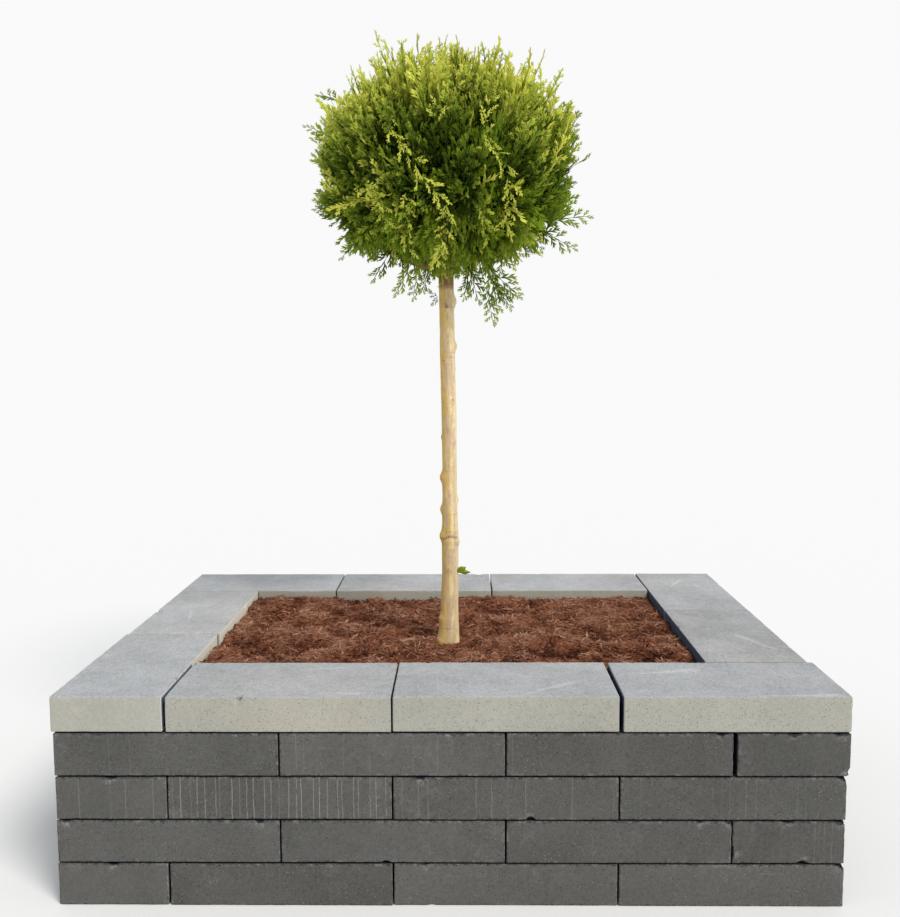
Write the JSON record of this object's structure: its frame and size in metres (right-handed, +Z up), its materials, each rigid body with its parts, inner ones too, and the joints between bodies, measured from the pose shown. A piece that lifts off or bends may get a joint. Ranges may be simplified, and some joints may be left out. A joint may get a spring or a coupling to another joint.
{
  "type": "raised planter box",
  "caption": "Raised rectangular planter of stacked dark concrete blocks under a pale coping, filled and planted with a clipped evergreen on a bare stem.",
  "frame": {"origin": "on the ground, under the middle of the planter's outline", "axes": "+Z up; +X along the long front, to the right as seen from the front; +Y from the front to the back"},
  "size_m": [2.1089, 1.4995, 2.45],
  "materials": {
    "dark_concrete": "cast concrete block, anthracite, matt and finely pored",
    "pale_concrete": "cast concrete block, light warm grey, matt and finely pored",
    "adhesive": "bead of landscape adhesive, dark grey",
    "geotextile": "needle-punched fleece",
    "gravel": "washed drainage gravel",
    "soil": "planting soil",
    "roots": "root ball of fine roots and potting soil",
    "bark_mulch": "shredded bark, red-brown, rough",
    "bark": "thin peeling bark, pale tan",
    "foliage": "scale-leaved evergreen sprays"
  },
  "bodies": {
    "root": {"course_1_front_1": "dark_concrete", "course_1_front_2": "dark_concrete", "course_1_front_3": "dark_concrete", "course_1_right_1": "dark_concrete", "course_1_right_2": "dark_concrete", "course_1_back_1": "dark_concrete", "course_1_back_2": "dark_concrete", "course_1_back_3": "dark_concrete", "course_1_left_1": "dark_concrete", "course_1_left_2": "dark_concrete", "course_2_front_1": "dark_concrete", "course_2_front_2": "dark_concrete", "course_2_front_3": "dark_concrete", "course_2_right_1": "dark_concrete", "course_2_right_2": "dark_concrete", "course_2_back_1": "dark_concrete", "course_2_back_2": "dark_concrete", "course_2_back_3": "dark_concrete", "course_2_left_1": "dark_concrete", "course_2_left_2": "dark_concrete", "course_3_front_1": "dark_concrete", "course_3_front_2": "dark_concrete", "course_3_front_3": "dark_concrete", "course_3_right_1": "dark_concrete", "course_3_right_2": "dark_concrete", "course_3_back_1": "dark_concrete", "course_3_back_2": "dark_concrete", "course_3_back_3": "dark_concrete", "course_3_left_1": "dark_concrete", "course_3_left_2": "dark_concrete", "course_4_front_1": "dark_concrete", "course_4_front_2": "dark_concrete", "course_4_front_3": "dark_concrete", "course_4_right_1": "dark_concrete", "course_4_right_2": "dark_concrete", "course_4_back_1": "dark_concrete", "course_4_back_2": "dark_concrete", "course_4_back_3": "dark_concrete", "course_4_left_1": "dark_concrete", "course_4_left_2": "dark_concrete", "coping_front_1": "pale_concrete", "coping_front_2": "pale_concrete", "coping_front_3": "pale_concrete", "coping_right_1": "pale_concrete", "coping_right_2": "pale_concrete", "coping_back_1": "pale_concrete", "coping_back_2": "pale_concrete", "coping_back_3": "pale_concrete", "coping_left_1": "pale_concrete", "coping_left_2": "pale_concrete", "bed_adhesive": "adhesive", "liner": "geotextile", "drainage_gravel": "gravel", "soil": "soil", "root_ball": "roots", "mulch": "bark_mulch", "tree_stem": "bark", "tree_crown": "foliage"}
  },
  "joints": []
}
